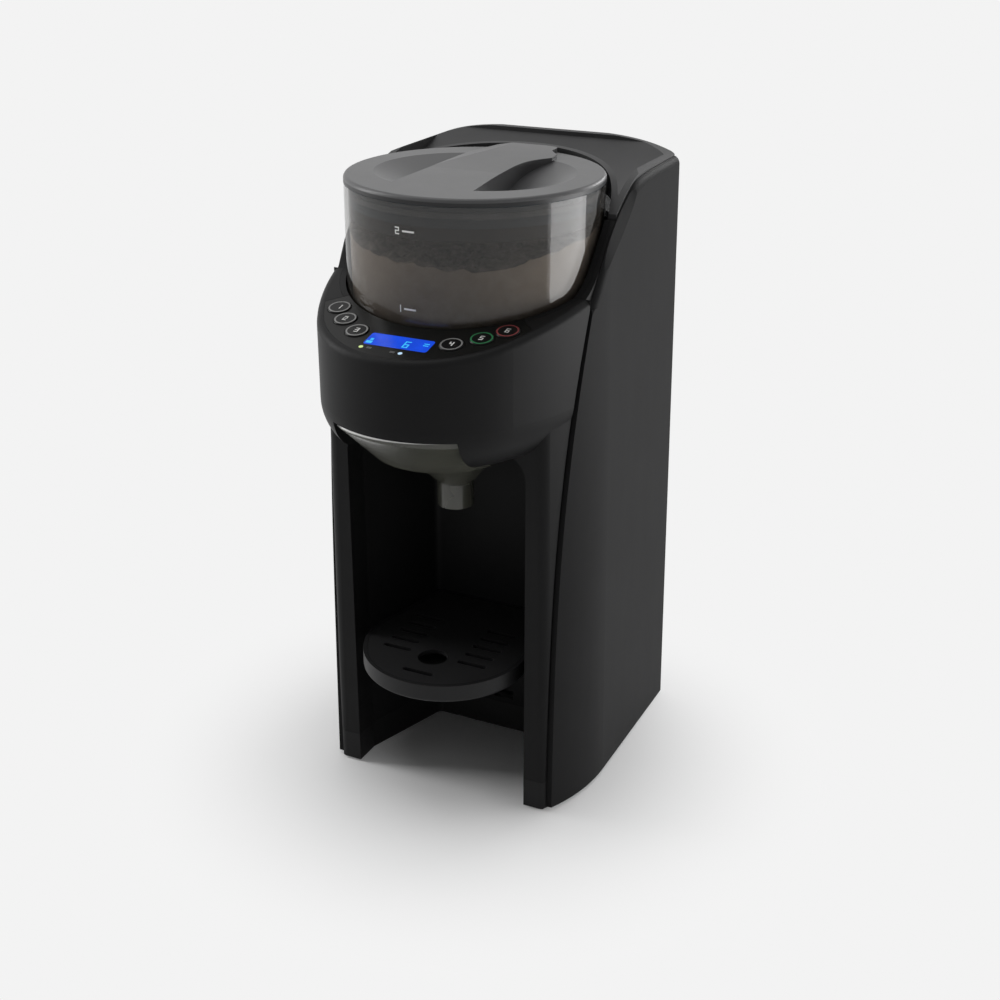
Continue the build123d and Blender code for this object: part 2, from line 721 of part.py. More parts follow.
key_names = ["key_right_1", "key_right_2", "key_right_3", "key_left_1", "key_left_2", "key_left_3"]
key_places = button_places + [(-x, y) for x, y in button_places]
key_skirt = panel_thick - button_travel - 0.2
key_stem = ring_plate + part_gap - fit_gap - button_travel
for key_name, (key_x, key_y) in zip(key_names, key_places):
    with BuildPart() as key:
        with BuildSketch(ring_plane.offset(-key_skirt)):
            with Locations(on_ring(key_x, key_y)):
                Circle(button_radius)
        extrude(amount=key_skirt + button_proud)
        chamfer(faces().sort_by(Axis.Z)[-1].edges(), length=0.4)
        with BuildSketch(ring_plane.offset(-key_stem)):
            with Locations(on_ring(key_x, key_y)):
                Circle(stem_radius)
        extrude(amount=key_stem - key_skirt + 0.2)
    save(key.part, key_name)

# ---------------------------------------------------------------- powder container
with BuildPart() as powder_container:
    post(0, 0, container_floor_z, container_top, container_radius)
    chamfer(faces().sort_by(Axis.Z)[0].edges(), length=1.0)
    post(0, 0, container_floor_z + container_floor, 400, container_radius - container_wall,
         Mode.SUBTRACT)
    post(0, 0, 200, 400, 11.06, Mode.SUBTRACT)
    post(0, outlet_y, 200, 400, outlet_radius, Mode.SUBTRACT)
save(powder_container.part, "powder_container")

wheel_low = container_floor_z + container_floor + fit_gap
wheel_top = wheel_low + 10
wheel_radius = container_radius - 10
with BuildPart() as stirring_wheel:
    post(0, 0, container_floor_z + 0.3, wheel_low, 11)
    post(0, 0, wheel_low, wheel_top + 6, 14)
    with BuildSketch(Plane.XY.offset(wheel_low)):
        Circle(wheel_radius)
        Circle(wheel_radius - 2, mode=Mode.SUBTRACT)
        with PolarLocations(wheel_radius - 22, 8):
            Rectangle(42, 1.8)
    extrude(amount=wheel_top - wheel_low)
    with BuildSketch(Plane.XY.offset(wheel_top + 4)):     # stirring arms
        with PolarLocations(wheel_radius - 26, 2):
            Rectangle(44, 4)
    extrude(amount=3)
    with BuildSketch(Plane.XY.offset(wheel_top + 4)):
        with PolarLocations(wheel_radius - 6, 2):
            Rectangle(3, 8)
    extrude(amount=24)
    with BuildSketch(Plane.XY.offset(wheel_top + 6)):
        Circle(14)
    extrude(amount=10, taper=38)
    with BuildSketch(Plane.XY.offset(container_floor_z)):
        RegularPolygon(8.4, 6)
    extrude(amount=12, mode=Mode.SUBTRACT)
save(stirring_wheel.part, "stirring_wheel")

with BuildPart() as scraper:
    bore = container_radius - container_wall - part_gap
    scraper_reach = container_radius - 32
    with BuildSketch(Plane.XY.offset(container_floor_z + container_floor + part_gap)):
        with BuildLine():
            CenterArc((0, 0), bore, 258, 24)
            CenterArc((0, 0), bore - 6, 258, 24)
            Line((bore * cos(radians(258)), bore * sin(radians(258))),
                 ((bore - 6) * cos(radians(258)), (bore - 6) * sin(radians(258))))
            Line((bore * cos(radians(282)), bore * sin(radians(282))),
                 ((bore - 6) * cos(radians(282)), (bore - 6) * sin(radians(282))))
        make_face()
    extrude(amount=wheel_top - container_floor_z - container_floor + 2.6)
    with BuildSketch(Plane.XY.offset(wheel_top + 0.4)):
        with BuildLine():
            CenterArc((0, 0), bore - 3, 258, 24)
            CenterArc((0, 0), scraper_reach, 258, 24)
            Line(((bore - 3) * cos(radians(258)), (bore - 3) * sin(radians(258))),
                 (scraper_reach * cos(radians(258)), scraper_reach * sin(radians(258))))
            Line(((bore - 3) * cos(radians(282)), (bore - 3) * sin(radians(282))),
                 (scraper_reach * cos(radians(282)), scraper_reach * sin(radians(282))))
        make_face()
    extrude(amount=2.3)
save(scraper.part, "scraper")

# ---------------------------------------------------------------- container lid
plug_radius = container_radius - container_wall - plug_gap
lid_low = container_top + fit_gap


def finger_cone(drop):
    """Shallow cone under a finger recess, lowered by drop."""
    low = lid_top - recess_depth - drop
    wide = recess_radius + 6 / recess_slope
    with BuildPart() as shape:
        with Locations((recess_x, 0, low)):
            Cone(wide - (recess_depth + 6) / recess_slope, wide, recess_depth + 6,
                 align=(Align.CENTER, Align.CENTER, Align.MIN))
    return shape.part


def beside_grip(left, grow):
    """Column over the ground beside the grip bar."""
    far = -70 if left else 70
    with BuildPart() as shape:
        with BuildSketch(Plane.XY.offset(lid_top - 30)):
            with BuildLine():
                if left:
                    Polyline((grip_left + grow, -60), (far, -60), (far, 60),
                             (grip_left + grow, 60), close=True)
                else:
                    edge = Spline(*[(x - grow, y) for x, y in grip_line])
                    Polyline(edge @ 1, (far, grip_line[-1][1]), (far, grip_line[0][1]), edge @ 0)
            make_face()
        extrude(amount=60)
    return shape.part


with BuildPart() as right_recess:
    add(finger_cone(0))
    add(beside_grip(False, 0), mode=Mode.INTERSECT)

with BuildPart() as left_recess:
    add(mirror(finger_cone(0), about=Plane.YZ, mode=Mode.PRIVATE))
    add(beside_grip(True, 0), mode=Mode.INTERSECT)

with BuildPart() as right_pan:
    add(finger_cone(lid_skin))
    add(beside_grip(False, lid_skin), mode=Mode.INTERSECT)

with BuildPart() as left_pan:
    add(mirror(finger_cone(lid_skin), about=Plane.YZ, mode=Mode.PRIVATE))
    add(beside_grip(True, lid_skin), mode=Mode.INTERSECT)

with BuildPart() as pans:              # the skin under the two recesses
    add(right_pan.part)
    add(left_pan.part)
    post(0, 0, 200, lid_top - 1, plug_radius - 1, Mode.INTERSECT)

with BuildPart() as grip_bar:          # flush in front, rising to the tab at the back
    with BuildSketch(Plane.XY.offset(lid_low + 0.5)):
        with BuildLine():
            Polyline((grip_left, grip_rise[0][0]), (grip_tab[1] + 10, grip_rise[0][0]),
                     (grip_tab[1] + 6, 46), (grip_tab[1], 54), (grip_tab[1], grip_rise[-1][0]),
                     (grip_tab[0], grip_rise[-1][0]), (grip_left, 44), close=True)
        make_face()
        fillet(vertices().group_by(Axis.Y)[-1], radius=5)
    extrude(amount=20)
    with BuildSketch(Plane.YZ):
        with BuildLine():
            top_line = Spline(*grip_rise)
            Polyline(top_line @ 1, (80, grip_rise[-1][1]), (80, 400), (-40, 400),
                     (-40, lid_top), top_line @ 0)
        make_face()
    extrude(amount=60, both=True, mode=Mode.SUBTRACT)
    with BuildSketch(Plane.XZ):        # the bar's left side runs out softly
        with BuildLine():
            Polyline((grip_left - 1, lid_top), (grip_left + 19, lid_top + 3),
                     (grip_left + 19, 400), (grip_left - 1, 400), close=True)
        make_face()
    extrude(amount=80, both=True, mode=Mode.SUBTRACT)
    with BuildSketch(Plane.XY.offset(200)):
        Circle(container_radius - 0.6)
    extrude(amount=200, mode=Mode.INTERSECT)

with BuildPart() as container_lid:
    post(0, 0, lid_low, lid_top, container_radius)
    fillet(faces().sort_by(Axis.Z)[-1].edges(), radius=lid_edge)
    post(0, 0, lid_top - plug_depth - 3, lid_low + 0.5, plug_radius)
    post(0, 0, 200, lid_top - lid_plate, plug_radius - 2.3, Mode.SUBTRACT)
    add(grip_bar.part)
    add(pans.part)
    add(right_recess.part, mode=Mode.SUBTRACT)
    add(left_recess.part, mode=Mode.SUBTRACT)
    with BuildSketch(Plane.XY.offset(lid_top - 10)):
        Circle(plug_radius + 5)
        Circle(plug_radius - 1.5, mode=Mode.SUBTRACT)
    extrude(amount=2.8, mode=Mode.SUBTRACT)
save(container_lid.part, "container_lid")

with BuildPart() as lid_gasket:
    with BuildSketch(Plane.XY.offset(lid_top - 9.9)):
        Circle(plug_radius + 0.2)
        Circle(plug_radius - 1.4, mode=Mode.SUBTRACT)
    extrude(amount=2.6)
save(lid_gasket.part, "lid_gasket")

# ---------------------------------------------------------------- water tank
ear_x = 42.0
with BuildPart() as water_tank:
    for level, inset in ((tank_floor_z, 0.0), (tank_floor_z + tank_wall, tank_wall)):
        with BuildSketch(Plane.XY.offset(level)):
            with Locations((0, (20 + tank_lid_back - inset) / 2)):
                Rectangle(2 * (tank_half - inset), tank_lid_back - inset - 20)
            fillet(vertices().group_by(Axis.Y)[-1], radius=5 - inset)
            Circle(tank_front_radius + inset, mode=Mode.SUBTRACT)
        extrude(amount=tank_top - level, mode=Mode.ADD if inset == 0 else Mode.SUBTRACT)
    slab(-80, 80, hinge_y - 4.5, 110, tank_rear_top, 400, Mode.SUBTRACT)
    for x in (-ear_x, ear_x):
        slab(x - 2, x + 2, hinge_y - 3, tank_lid_back, tank_rear_top - 12, hinge_z)
        with Locations(Location((x, hinge_y, hinge_z), (0, 90, 0))):
            Cylinder(3, 4)
            Cylinder(pin_radius + 0.05, 10, mode=Mode.SUBTRACT)
    post(0, valve_y, 100, 120, 6.6, Mode.SUBTRACT)
save(water_tank.part, "water_tank")

with BuildPart() as tank_valve:
    post(0, valve_y, tank_floor_z - 13, tank_floor_z - 11, 8)
    post(0, valve_y, tank_floor_z - 12, tank_floor_z + tank_wall + 1, 6.5)
    post(0, valve_y, tank_floor_z + tank_wall + 0.1, tank_floor_z + tank_wall + 2, 9)
    post(0, valve_y, 50, 150, 3.5, Mode.SUBTRACT)
save(tank_valve.part, "tank_valve")

with BuildPart() as tank_seal:
    post(0, valve_y, tank_floor_z - 10.9, tank_floor_z - 8, 8.0)
    post(0, valve_y, 50, 150, 6.55, Mode.SUBTRACT)
save(tank_seal.part, "tank_seal")

with BuildPart() as lid_hinge_pin:
    for x in (-ear_x, ear_x):
        with Locations(Location((x, hinge_y, hinge_z), (0, 90, 0))):
            Cylinder(pin_radius, 14)
save(lid_hinge_pin.part, "lid_hinge_pin")

# ---------------------------------------------------------------- tank lid
def lid_plan(inset, level, height, rear_inset):
    """Column over the tank lid's plan outline, moved in by inset."""
    half = tank_lid_half - inset
    rear = tank_lid_back - rear_inset
    with BuildPart() as column:
        with BuildSketch(Plane.XY.offset(level)):
            with Locations((0, (tank_lid_front_y + rear) / 2)):
                Rectangle(2 * half, rear - tank_lid_front_y)
            fillet(vertices().group_by(Axis.Y)[-1], radius=rear_corner - min(inset, 2))
            Circle(tank_lid_inner + (0.9 * inset if inset else 0), mode=Mode.SUBTRACT)
        extrude(amount=height)
    return column.part


def lid_sweep(points, up):
    """Prism across the body over a smooth line in the side view."""
    with BuildPart() as prism:
        with BuildSketch(Plane.YZ):
            with BuildLine():
                curve = Spline(*points)
                Polyline(curve @ 1, (points[-1][0], up), (points[0][0], up), curve @ 0)
            make_face()
        extrude(amount=120, both=True)
    return prism.part


lid_crown = [(4, 311.5), (tank_lid_front_y, 317.3), (24, 324.8), (34, 329.6), (48, 333.4),
             (68, 336.8), (101, 340.3)]
lid_dish = [(0, 320.5), (30, 323.6), (60, 325.4), (80, 330.0), (hinge_y - 0.2, 337.6)]
with BuildPart() as dish:
    add(lid_plan(rim_width, tank_lid_under + 0.5, 40, rim_width))
    add(lid_sweep(lid_dish, 400), mode=Mode.INTERSECT)

with BuildPart() as under_side:
    add(lid_plan(rim_width, tank_lid_under - 1, 30, 10))
    slab(-100, 100, 0, tip_back_y + 2, 200, 400, Mode.SUBTRACT)
    add(lid_sweep([(y, z - lid_plate) for y, z in lid_dish], 300), mode=Mode.INTERSECT)

with BuildPart() as tank_lid:
    add(lid_plan(0, tip_under, 40, 0))
    slab(-100, 100, tip_back_y, 120, 200, tank_lid_under, Mode.SUBTRACT)
    add(lid_sweep(lid_crown, 400), mode=Mode.SUBTRACT)
    with BuildSketch(Plane.XZ):        # the rim falls away towards the corners
        with BuildLine():
            corner = Spline((22, 340.4), (43, 339.3), (52, 338.0), (60, 336.2), (66, 334.3),
                            (72, 331.8), tangents=[(1, 0), (1, -0.5)])
            Polyline(corner @ 1, (80, 331), (80, 400), (0, 400), (0, 340.4), corner @ 0)
        make_face()
        mirror(about=Plane.YZ)
    extrude(amount=200, both=True, mode=Mode.SUBTRACT)
    add(dish.part, mode=Mode.SUBTRACT)
    add(under_side.part, mode=Mode.SUBTRACT)
    for x in (-ear_x, ear_x):
        slab(x - 2.3, x + 2.3, hinge_y - 3.6, 110, tank_lid_under - 1, hinge_z + 3.6,
             Mode.SUBTRACT)
        with Locations(Location((x, hinge_y, hinge_z), (0, 90, 0))):
            Cylinder(pin_radius + 0.05, 14.4, mode=Mode.SUBTRACT)
save(tank_lid.part, "tank_lid")

# ---------------------------------------------------------------- funnel
rail_low, rail_high = 208.0, 210.4
funnel_centre_y = funnel_front_y + funnel_front_radius


def funnel_layer(inset, back_inset, low, high):
    """Slice of the funnel's plan: a round front, straight sides and a straight back."""
    radius = funnel_front_radius - inset
    half = funnel_half - inset
    front = funnel_centre_y - sqrt(radius ** 2 - half ** 2)
    rear = funnel_back_y - back_inset
    with BuildPart() as layer:
        with BuildSketch(Plane.XY.offset(low)):
            with BuildLine():
                ThreePointArc((-half, front), (0, funnel_centre_y - radius), (half, front))
                Polyline((half, front), (half, rear), (-half, rear), (-half, front))
            make_face()
        extrude(amount=high - low)
    return layer.part


def flare(inset):
    """Everything behind the funnel's front, whose underside rises forward at 45 degrees."""
    radius = funnel_front_radius - inset
    with BuildPart() as body:
        with Locations((0, funnel_centre_y, funnel_lip_z)):
            Cone(radius - 30, radius, 30, align=(Align.CENTER, Align.CENTER, Align.MAX))
            Cylinder(radius, 20, align=(Align.CENTER, Align.CENTER, Align.MIN))
        slab(-60, 60, funnel_centre_y, 20, funnel_lip_z - 30, funnel_lip_z + 20)
    return body.part


def bowl(inset, low_over, high_over):
    """The bowl in two tapers, moved in by inset and run on past its two ends."""
    knee_z, knee_radius, knee_y = bowl_knee
    floor_z = funnel_rim_z - funnel_floor
    ends = ((spout_top, spout_radius, spout_y, -low_over),
            (floor_z, bowl_rim[0], bowl_rim[1], high_over))
    levels = [bowl_knee]
    for z, radius, y, over in ends:
        grow = (radius - knee_radius) / (z - knee_z)
        lean = (y - knee_y) / (z - knee_z)
        levels.append((z + over, radius + grow * over, y + lean * over))
    with BuildPart() as body:
        for z, radius, y in sorted(levels):
            with BuildSketch(Plane.XY.offset(z)):
                with Locations((0, y)):
                    Circle(radius - inset)
        loft(ruled=True)
    return body.part


with BuildPart() as funnel_mouth:
    add(funnel_layer(funnel_groove + funnel_wall, funnel_wall, funnel_rim_z, funnel_top_z + 5))
    add(flare(funnel_floor * 1.2), mode=Mode.INTERSECT)

with BuildPart() as visor:
    add(funnel_layer(0, 0, rail_high, funnel_top_z))
    slab(-60, 60, -74, 20, 200, 240, Mode.SUBTRACT)

with BuildPart() as funnel:
    add(funnel_layer(0, 0, funnel_rim_z - funnel_floor, rail_low - fit_gap))
    add(funnel_layer(funnel_groove, 0, rail_low - fit_gap, rail_high + fit_gap))
    add(funnel_layer(0, 0, rail_high + fit_gap, funnel_wall_top))
    add(visor.part)
    add(flare(0), mode=Mode.INTERSECT)
    add(funnel_mouth.part, mode=Mode.SUBTRACT)
    add(bowl(0, 0, 0.8))
    post(0, spout_y, spout_bottom, spout_top + 0.8, spout_radius)
    add(bowl(funnel_wall, 0.8, funnel_floor + 0.5), mode=Mode.SUBTRACT)
    post(0, spout_y, spout_bottom - 1, spout_top + 0.8, spout_radius - funnel_wall, Mode.SUBTRACT)
save(funnel.part, "funnel")

with BuildPart() as funnel_rails:
    for s in (-1, 1):
        slab(s * (funnel_half - 1.65) - 1.85, s * (funnel_half - 1.65) + 1.85, -62, 14,
             rail_low, rail_high)
save(funnel_rails.part, "funnel_rails")

switch_x = bay_back_half - 13
with BuildPart() as funnel_switch:
    slab(-switch_x - 6, -switch_x + 6, 5, bay_back_y - part_gap, 214, funnel_top_z + 0.2)
    slab(-switch_x - 3, -switch_x + 3, -1, 6, 216, 221)
save(funnel_switch.part, "funnel_switch")

# ---------------------------------------------------------------- bottle tray
def tray_outline(inset):
    """Plan of the tray: a round front that narrows back to the bay's rear wall."""
    side = tray_radius - 0.6 - inset
    rear = bay_back_y - 0.4 - inset
    rear_half = bay_back_half - 1.4
    with BuildSketch() as plan:
        with Locations((0, tray_y)):
            Circle(tray_radius - inset)
        with BuildLine():
            Polyline((-side, tray_y + 5), (inset - rear_half, rear), (rear_half - inset, rear),
                     (side, tray_y + 5), close=True)
        make_face()
        fillet(vertices().group_by(Axis.Y)[-1], radius=max(4 - inset, 1))
    return plan.sketch


with BuildPart() as bottle_tray:
    with BuildSketch(Plane.XY.offset(tray_top - tray_depth)):
        add(tray_outline(0))
    extrude(amount=tray_depth)
    fillet(faces().sort_by(Axis.Z)[0].edges(), radius=2.0)
    with BuildSketch(Plane.XY.offset(tray_top - tray_depth + tray_wall)):
        add(tray_outline(tray_wall + 1.6))
    extrude(amount=tray_depth, mode=Mode.SUBTRACT)
    with BuildSketch(Plane.XY.offset(tray_top - grille_thick - part_gap)):
        add(tray_outline(tray_wall))
    extrude(amount=tray_depth, mode=Mode.SUBTRACT)
    for s in (-1, 1):
        slab(s * hook_x - hook_width / 2, s * hook_x + hook_width / 2, bay_back_y - 4,
             partition_back - 0.4, hook_z - hook_height / 2, hook_z + hook_height / 2)
save(bottle_tray.part, "bottle_tray")

with BuildPart() as tray_grille:
    with BuildSketch(Plane.XY.offset(tray_top - grille_thick)):
        add(tray_outline(tray_wall + part_gap))
        with Locations((0, tray_y - 16.4)):
            Circle(8, mode=Mode.SUBTRACT)
        for s in (1, -1):
            with Locations(*[(s * (tray_radius - 23.1), tray_y + 22.6 - 9.3 * k)
                             for k in range(5)]):
                SlotOverall(17, 3, mode=Mode.SUBTRACT)
        with Locations((0, tray_y - tray_radius + 12.2)):
            SlotOverall(18, 3, mode=Mode.SUBTRACT)
    extrude(amount=grille_thick)
save(tray_grille.part, "tray_grille")

# ---------------------------------------------------------------- water path
def pipe(points, radii, outer, bore=None):
    with BuildPart() as tube:
        with BuildLine():
            path = FilletPolyline(*points, radius=radii)
        with BuildSketch(Plane(origin=path @ 0, z_dir=path % 0)):
            Circle(outer)
            if bore:
                Circle(bore, mode=Mode.SUBTRACT)
        sweep(path=path)
    return tube.part


pump_x, pump_y = 34.0, 62.0
heater_y = partition_back + part_gap
with BuildPart() as tank_socket:
    post(0, valve_y, tank_floor_z - 17, shelf_under - part_gap, 11.3)
    post(0, valve_y, tank_floor_z - 15, 150, 8.3, Mode.SUBTRACT)
    post(0, valve_y, tank_floor_z - 22, tank_floor_z - 16, hose_radius)
    post(0, valve_y, 50, 150, 2.2, Mode.SUBTRACT)
save(tank_socket.part, "tank_socket")

with BuildPart() as pump:
    post(pump_x, pump_y, 64, 98, 14)
    post(pump_x, pump_y, 98, shelf_under - part_gap, 17)
    post(pump_x, pump_y, 58, 64, hose_radius)
    with Locations(Location((pump_x, pump_y - 15, 86), (90, 0, 0))):
        Cylinder(hose_radius, 12)
save(pump.part, "pump")

with BuildPart() as heater_block:
    slab(-22, 44, heater_y, heater_y + 20, 122, 172)
    fillet(edges().filter_by(Axis.Y), radius=8)
    post(pump_x, 33, 115, 123, hose_radius)
    post(nozzle_x, 33, 171, 178, hose_radius)
save(heater_block.part, "heater_block")

with BuildPart() as thermostat:
    with Locations(Location((8, heater_y + 22.1, 150), (90, 0, 0))):
        Cylinder(7, 4)
save(thermostat.part, "thermostat")

with BuildPart() as water_nozzle:
    add(pipe([(nozzle_x, 27, nozzle_z), (nozzle_x, 4, nozzle_z),
              (nozzle_end[0], nozzle_end[1], nozzle_z), nozzle_end], 4,
             nozzle_radius, 1.8))
save(water_nozzle.part, "water_nozzle")

with BuildPart() as outlet_hose:
    add(pipe([(nozzle_x, 33, 178.1), (nozzle_x, 33, nozzle_z), (nozzle_x, 27.1, nozzle_z)], 5,
             hose_radius))
save(outlet_hose.part, "outlet_hose")

with BuildPart() as pressure_hose:
    add(pipe([(pump_x, pump_y - 21.1, 86), (pump_x, 33, 86), (pump_x, 33, 114.9)], 7,
             hose_radius))
save(pressure_hose.part, "pressure_hose")

with BuildPart() as suction_hose:
    add(pipe([(0, valve_y, tank_floor_z - 22.1), (0, valve_y, 50), (pump_x, pump_y, 50 - 4),
              (pump_x, pump_y, 57.9)], 6, hose_radius))
save(suction_hose.part, "suction_hose")

with BuildPart() as level_sensor:
    sensor_y = tank_front_radius - 1.2
    slab(-7, 7, sensor_y - 6, sensor_y, tank_floor_z - fit_gap + part_gap, 138)
    slab(-12, 12, sensor_y - 10, sensor_y - 2, tank_floor_z - fit_gap + part_gap, 114)
save(level_sensor.part, "level_sensor")

# ---------------------------------------------------------------- electrics
with BuildPart() as main_board:
    slab(-56, 22, partition_back + 3, partition_back + 4.6, 32, 100)
    for x, z in ((-50, 38), (16, 38), (-50, 94), (16, 94)):
        slab(x - 2, x + 2, partition_back + part_gap, partition_back + 3.5, z - 2, z + 2)
    slab(-44, -26, partition_back + 4, partition_back + 12, 60, 78)
    slab(-10, 6, partition_back + 4, partition_back + 7, 44, 60)
    slab(-48, -30, partition_back + 4, partition_back + 10, 38, 48)
save(main_board.part, "main_board")

with BuildPart() as power_board:
    board_x = 6 - back_slot_half
    slab(board_x, board_x + 46, back_y - 7.6, back_y - 6, 28, 58)
    for x in (board_x + 4, board_x + 42):
        for z in (32, 54):
            slab(x - 2, x + 2, back_y - 6.5, back_y - 3.1, z - 2, z + 2)
    slab(board_x + 8, board_x + 34, back_y - 28, back_y - 7, 32, 54)
save(power_board.part, "power_board")

with BuildPart() as power_inlet:
    with BuildSketch(Plane.XZ.offset(-(back_y - 0.4))):
        with Locations((inlet_x, inlet_z)):
            RectangleRounded(24, 16, 3)
    extrude(amount=18)
    with BuildSketch(Plane.XZ.offset(-back_y)):
        with Locations((inlet_x, inlet_z)):
            SlotOverall(18, 10)
    extrude(amount=14, mode=Mode.SUBTRACT)
    with BuildSketch(Plane.XZ.offset(-(back_y - 3.2))):
        with Locations((inlet_x, inlet_z)):
            RectangleRounded(28, 20, 3)
            SlotOverall(18, 10, mode=Mode.SUBTRACT)
    extrude(amount=2)
save(power_inlet.part, "power_inlet")
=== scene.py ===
"""Look of a baby formula maker: finishes for every moulded piece, the powder in its smoky
container, the lit display, and a plain pale studio."""
import math

import bmesh
import bpy
from mathutils import Euler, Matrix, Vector, noise


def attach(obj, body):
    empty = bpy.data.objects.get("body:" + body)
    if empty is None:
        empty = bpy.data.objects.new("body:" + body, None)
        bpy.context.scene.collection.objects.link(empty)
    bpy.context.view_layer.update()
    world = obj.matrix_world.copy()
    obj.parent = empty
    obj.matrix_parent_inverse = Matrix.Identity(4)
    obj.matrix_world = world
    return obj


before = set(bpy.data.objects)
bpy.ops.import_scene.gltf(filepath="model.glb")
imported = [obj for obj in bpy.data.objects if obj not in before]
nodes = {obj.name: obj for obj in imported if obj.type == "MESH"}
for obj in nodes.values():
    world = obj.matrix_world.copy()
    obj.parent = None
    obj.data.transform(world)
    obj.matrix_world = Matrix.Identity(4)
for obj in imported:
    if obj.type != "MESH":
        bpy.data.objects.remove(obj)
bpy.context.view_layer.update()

# ------------------------------------------------------------------ sizes (metres, degrees)
RING_HEIGHT = 0.287            # sloping control ring, on the container's axis
RING_SLOPE = 0.2217
CONTAINER_R = 0.066
CONTAINER_BORE = 0.0638        # radius inside the container's wall
LID_LOW = 0.3313               # seam between the lid and the container's wall
LID_EDGE_SHADE = 0.0018              # painted shade: the lid's rounded lower edge is dark this far above the seam
SKIRT_R = 0.056                # the lid's skirt lies outside this radius
SKIRT_BAND = 0.3205            # the skirt is bluish down to here and dark below
LIP_HIGHLIGHT_LOW = 0.2236               # lower edge of the painted highlight on the funnel's lip, in the middle
LIP_HIGHLIGHT_LEAN = 0.036               # rise of that edge along x, so the painted highlight thins to the right
KEY_PROUD = 0.0006             # a key's top above the ring
KEY_PLACES = [(0.0256, -0.0776), (0.0372, -0.0688), (0.0462, -0.0592)]   # on the right side
WINDOW_Y = -0.082              # middle of the display
LED_SPLIT = (-0.005, -0.007)   # x where the left lamp's colour takes over
EROSION = 0.0006               # grain size of the moulds' surface
COLOUR_BLUR, LIP_BLUR = 0.0002, 0.0003       # half the width in which one colour meets another

# ------------------------------------------------------------------ sizes of the prints
PRINT_GAP, PRINT_THICK = 0.00002, 0.00003    # on the panel and the keys
CLEAR_GAP, CLEAR_THICK = 0.00003, 0.00004    # on the display and the container's wall
KEY_RING = (0.0055, 0.0047)                  # outer and inner radius
KEY_NUMBER = (0.0, 0.0, 0.0022, 0.0038, 0.0006)              # x, y, width, height, stroke
DISPLAY_DIGIT = (0.0046, -0.0011, 0.0030, 0.0058, 0.0007)
LEVEL_NUMBER = (-0.0062, 0.0, 0.0024, 0.0036, 0.0006)
DISPLAY_MARKS = [(0.0141, 0.0019, 0.0028, 0.0006), (0.0141, 0.0003, 0.0028, 0.0006),
                 (-0.0146, -0.0032, 0.0032, 0.0022),
                 (-0.0143, -0.0006, 0.0016, 0.0018)]         # x, y, width, height
LAMP_LINES = [(0.0, 0.0004, 0.0026, 0.0004), (0.0, -0.0004, 0.0026, 0.0004)]
LAMP_PLACES = {"lamp_mark_left": (-0.0118, -0.0902), "lamp_mark_right": (0.0012, -0.0910)}
LEVEL_TICK = (0.0, 0.0, 0.0066, 0.0009)
LEVELS = {2: 0.3181, 1: 0.2802}              # height of each numbered tick
LEVEL_ANGLE = -92.3

# ------------------------------------------------------------------ sizes of the powder
POWDER_GAP = 0.0004                  # between the powder and the wall
POWDER_R = CONTAINER_BORE - POWDER_GAP
POWDER_FLOOR, POWDER_MIDDLE, POWDER_CEILING = 0.2655, 0.3080, 0.3137
DIPS, DIP_SLICE, DIP_DEPTH = 70, 3.1, 0.0055          # hollows: noise scale, slice, depth
LUMPS, LUMP_SLICE, LUMP_HEIGHT = 210, 7.7, 0.0024     # crumbs: noise scale, slice, height
LUMP_FRACTAL = (0.6, 2.1, 5)         # fall-off, step between octaves, octaves
TOP_LIFT = 0.001                     # raises the top, against the hollows' depth
CALM_FROM, CALM = 0.9, 0.6           # beyond this share of the radius the top calms, by this
WALL_LINE = [(-220, 0.3110), (-180, 0.3090), (-133, 0.3052), (-111, 0.3032), (-94, 0.3025),
             (-75, 0.3004), (-62, 0.2997), (-52, 0.3008), (-38, 0.3036), (-30, 0.3062),
             (-9, 0.3095), (20, 0.3112), (80, 0.3125), (140, 0.3110)]   # angle, height

# ------------------------------------------------------------------ studio
BACKGROUND = (0.896, 0.896, 0.896)
PAPER = (0.88, 0.88, 0.88)
PAPER_HALF = 9.0
PAPER_FADE = (0.035, 0.20)           # radii between which it turns into the background
TO_FRONT = (0.42, -0.86, 0.28)       # the side that the studio leaves darker
TO_DARK = (-0.1, 0.75)               # cosines to that side between which the light falls
WORLD_BACK, WORLD_FRONT = 0.40, 0.15
# name, place, aim, size, watts
LAMPS = [("left_light", (-1.7, -0.3, 0.9), (0, 0, 0.2), (0.6, 1.6), 20.0),
         ("right_light", (0.65, 0.27, 0.19), (0.05, 0, 0.22), (0.54, 0.36), 3.1),
         ("rear_light", (0.5, 1.4, 0.75), (0, 0, 0.3), (0.8, 0.4), 7.0),
         ("top_light", (-0.3, 0.3, 2.0), (0, 0, 0.3), (1.6, 1.4), 9.0)]
SENSOR, LENS = 36.0, 54.4016         # millimetres
CAMERA_PLACE = (0.33839, -0.68038, 0.48830)
CAMERA_TILT, CAMERA_TURN = 66.3, 25.5

# ------------------------------------------------------------------ places and colours
ring_normal = Vector((0, -RING_SLOPE, 1)).normalized()
ring_up = Vector((0, 1, RING_SLOPE)).normalized()


def on_ring(x, y, lift=0.0):
    """A point above the sloping ring, given in plan."""
    return Vector((x, y, RING_HEIGHT + RING_SLOPE * y)) + ring_normal * lift


def rgba(colour):
    return (*colour, 1.0)


def shade(colour, factor, add=0.0):
    return tuple(c * factor + add for c in colour)


